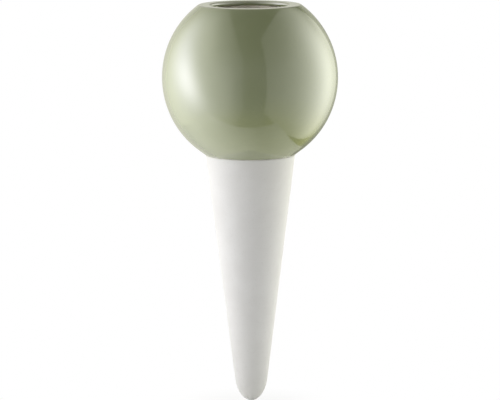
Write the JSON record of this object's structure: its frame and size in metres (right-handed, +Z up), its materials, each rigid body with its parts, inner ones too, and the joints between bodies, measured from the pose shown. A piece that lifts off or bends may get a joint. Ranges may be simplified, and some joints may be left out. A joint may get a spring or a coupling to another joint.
{
  "type": "self watering spike",
  "caption": "Glazed open-mouthed globe reservoir on a hollow porous clay spike, pushed into soil so that its water seeps out to the roots.",
  "frame": {"origin": "on the axis, at the flat foot of the globe where it meets the top of the spike, which is the level of the soil", "axes": "+Z up along the axis and out of the mouth, -Z along the spike into the soil; +X and +Y are free because the part is round"},
  "size_m": [0.106, 0.106, 0.2412],
  "materials": {
    "globe_glaze": "glossy sage-green glaze",
    "spike_clay": "unglazed porous white clay, matte",
    "bond": "pale grey waterproof ceramic adhesive"
  },
  "bodies": {
    "root": {"globe": "globe_glaze", "spike": "spike_clay", "bond_ring": "bond"}
  },
  "joints": []
}
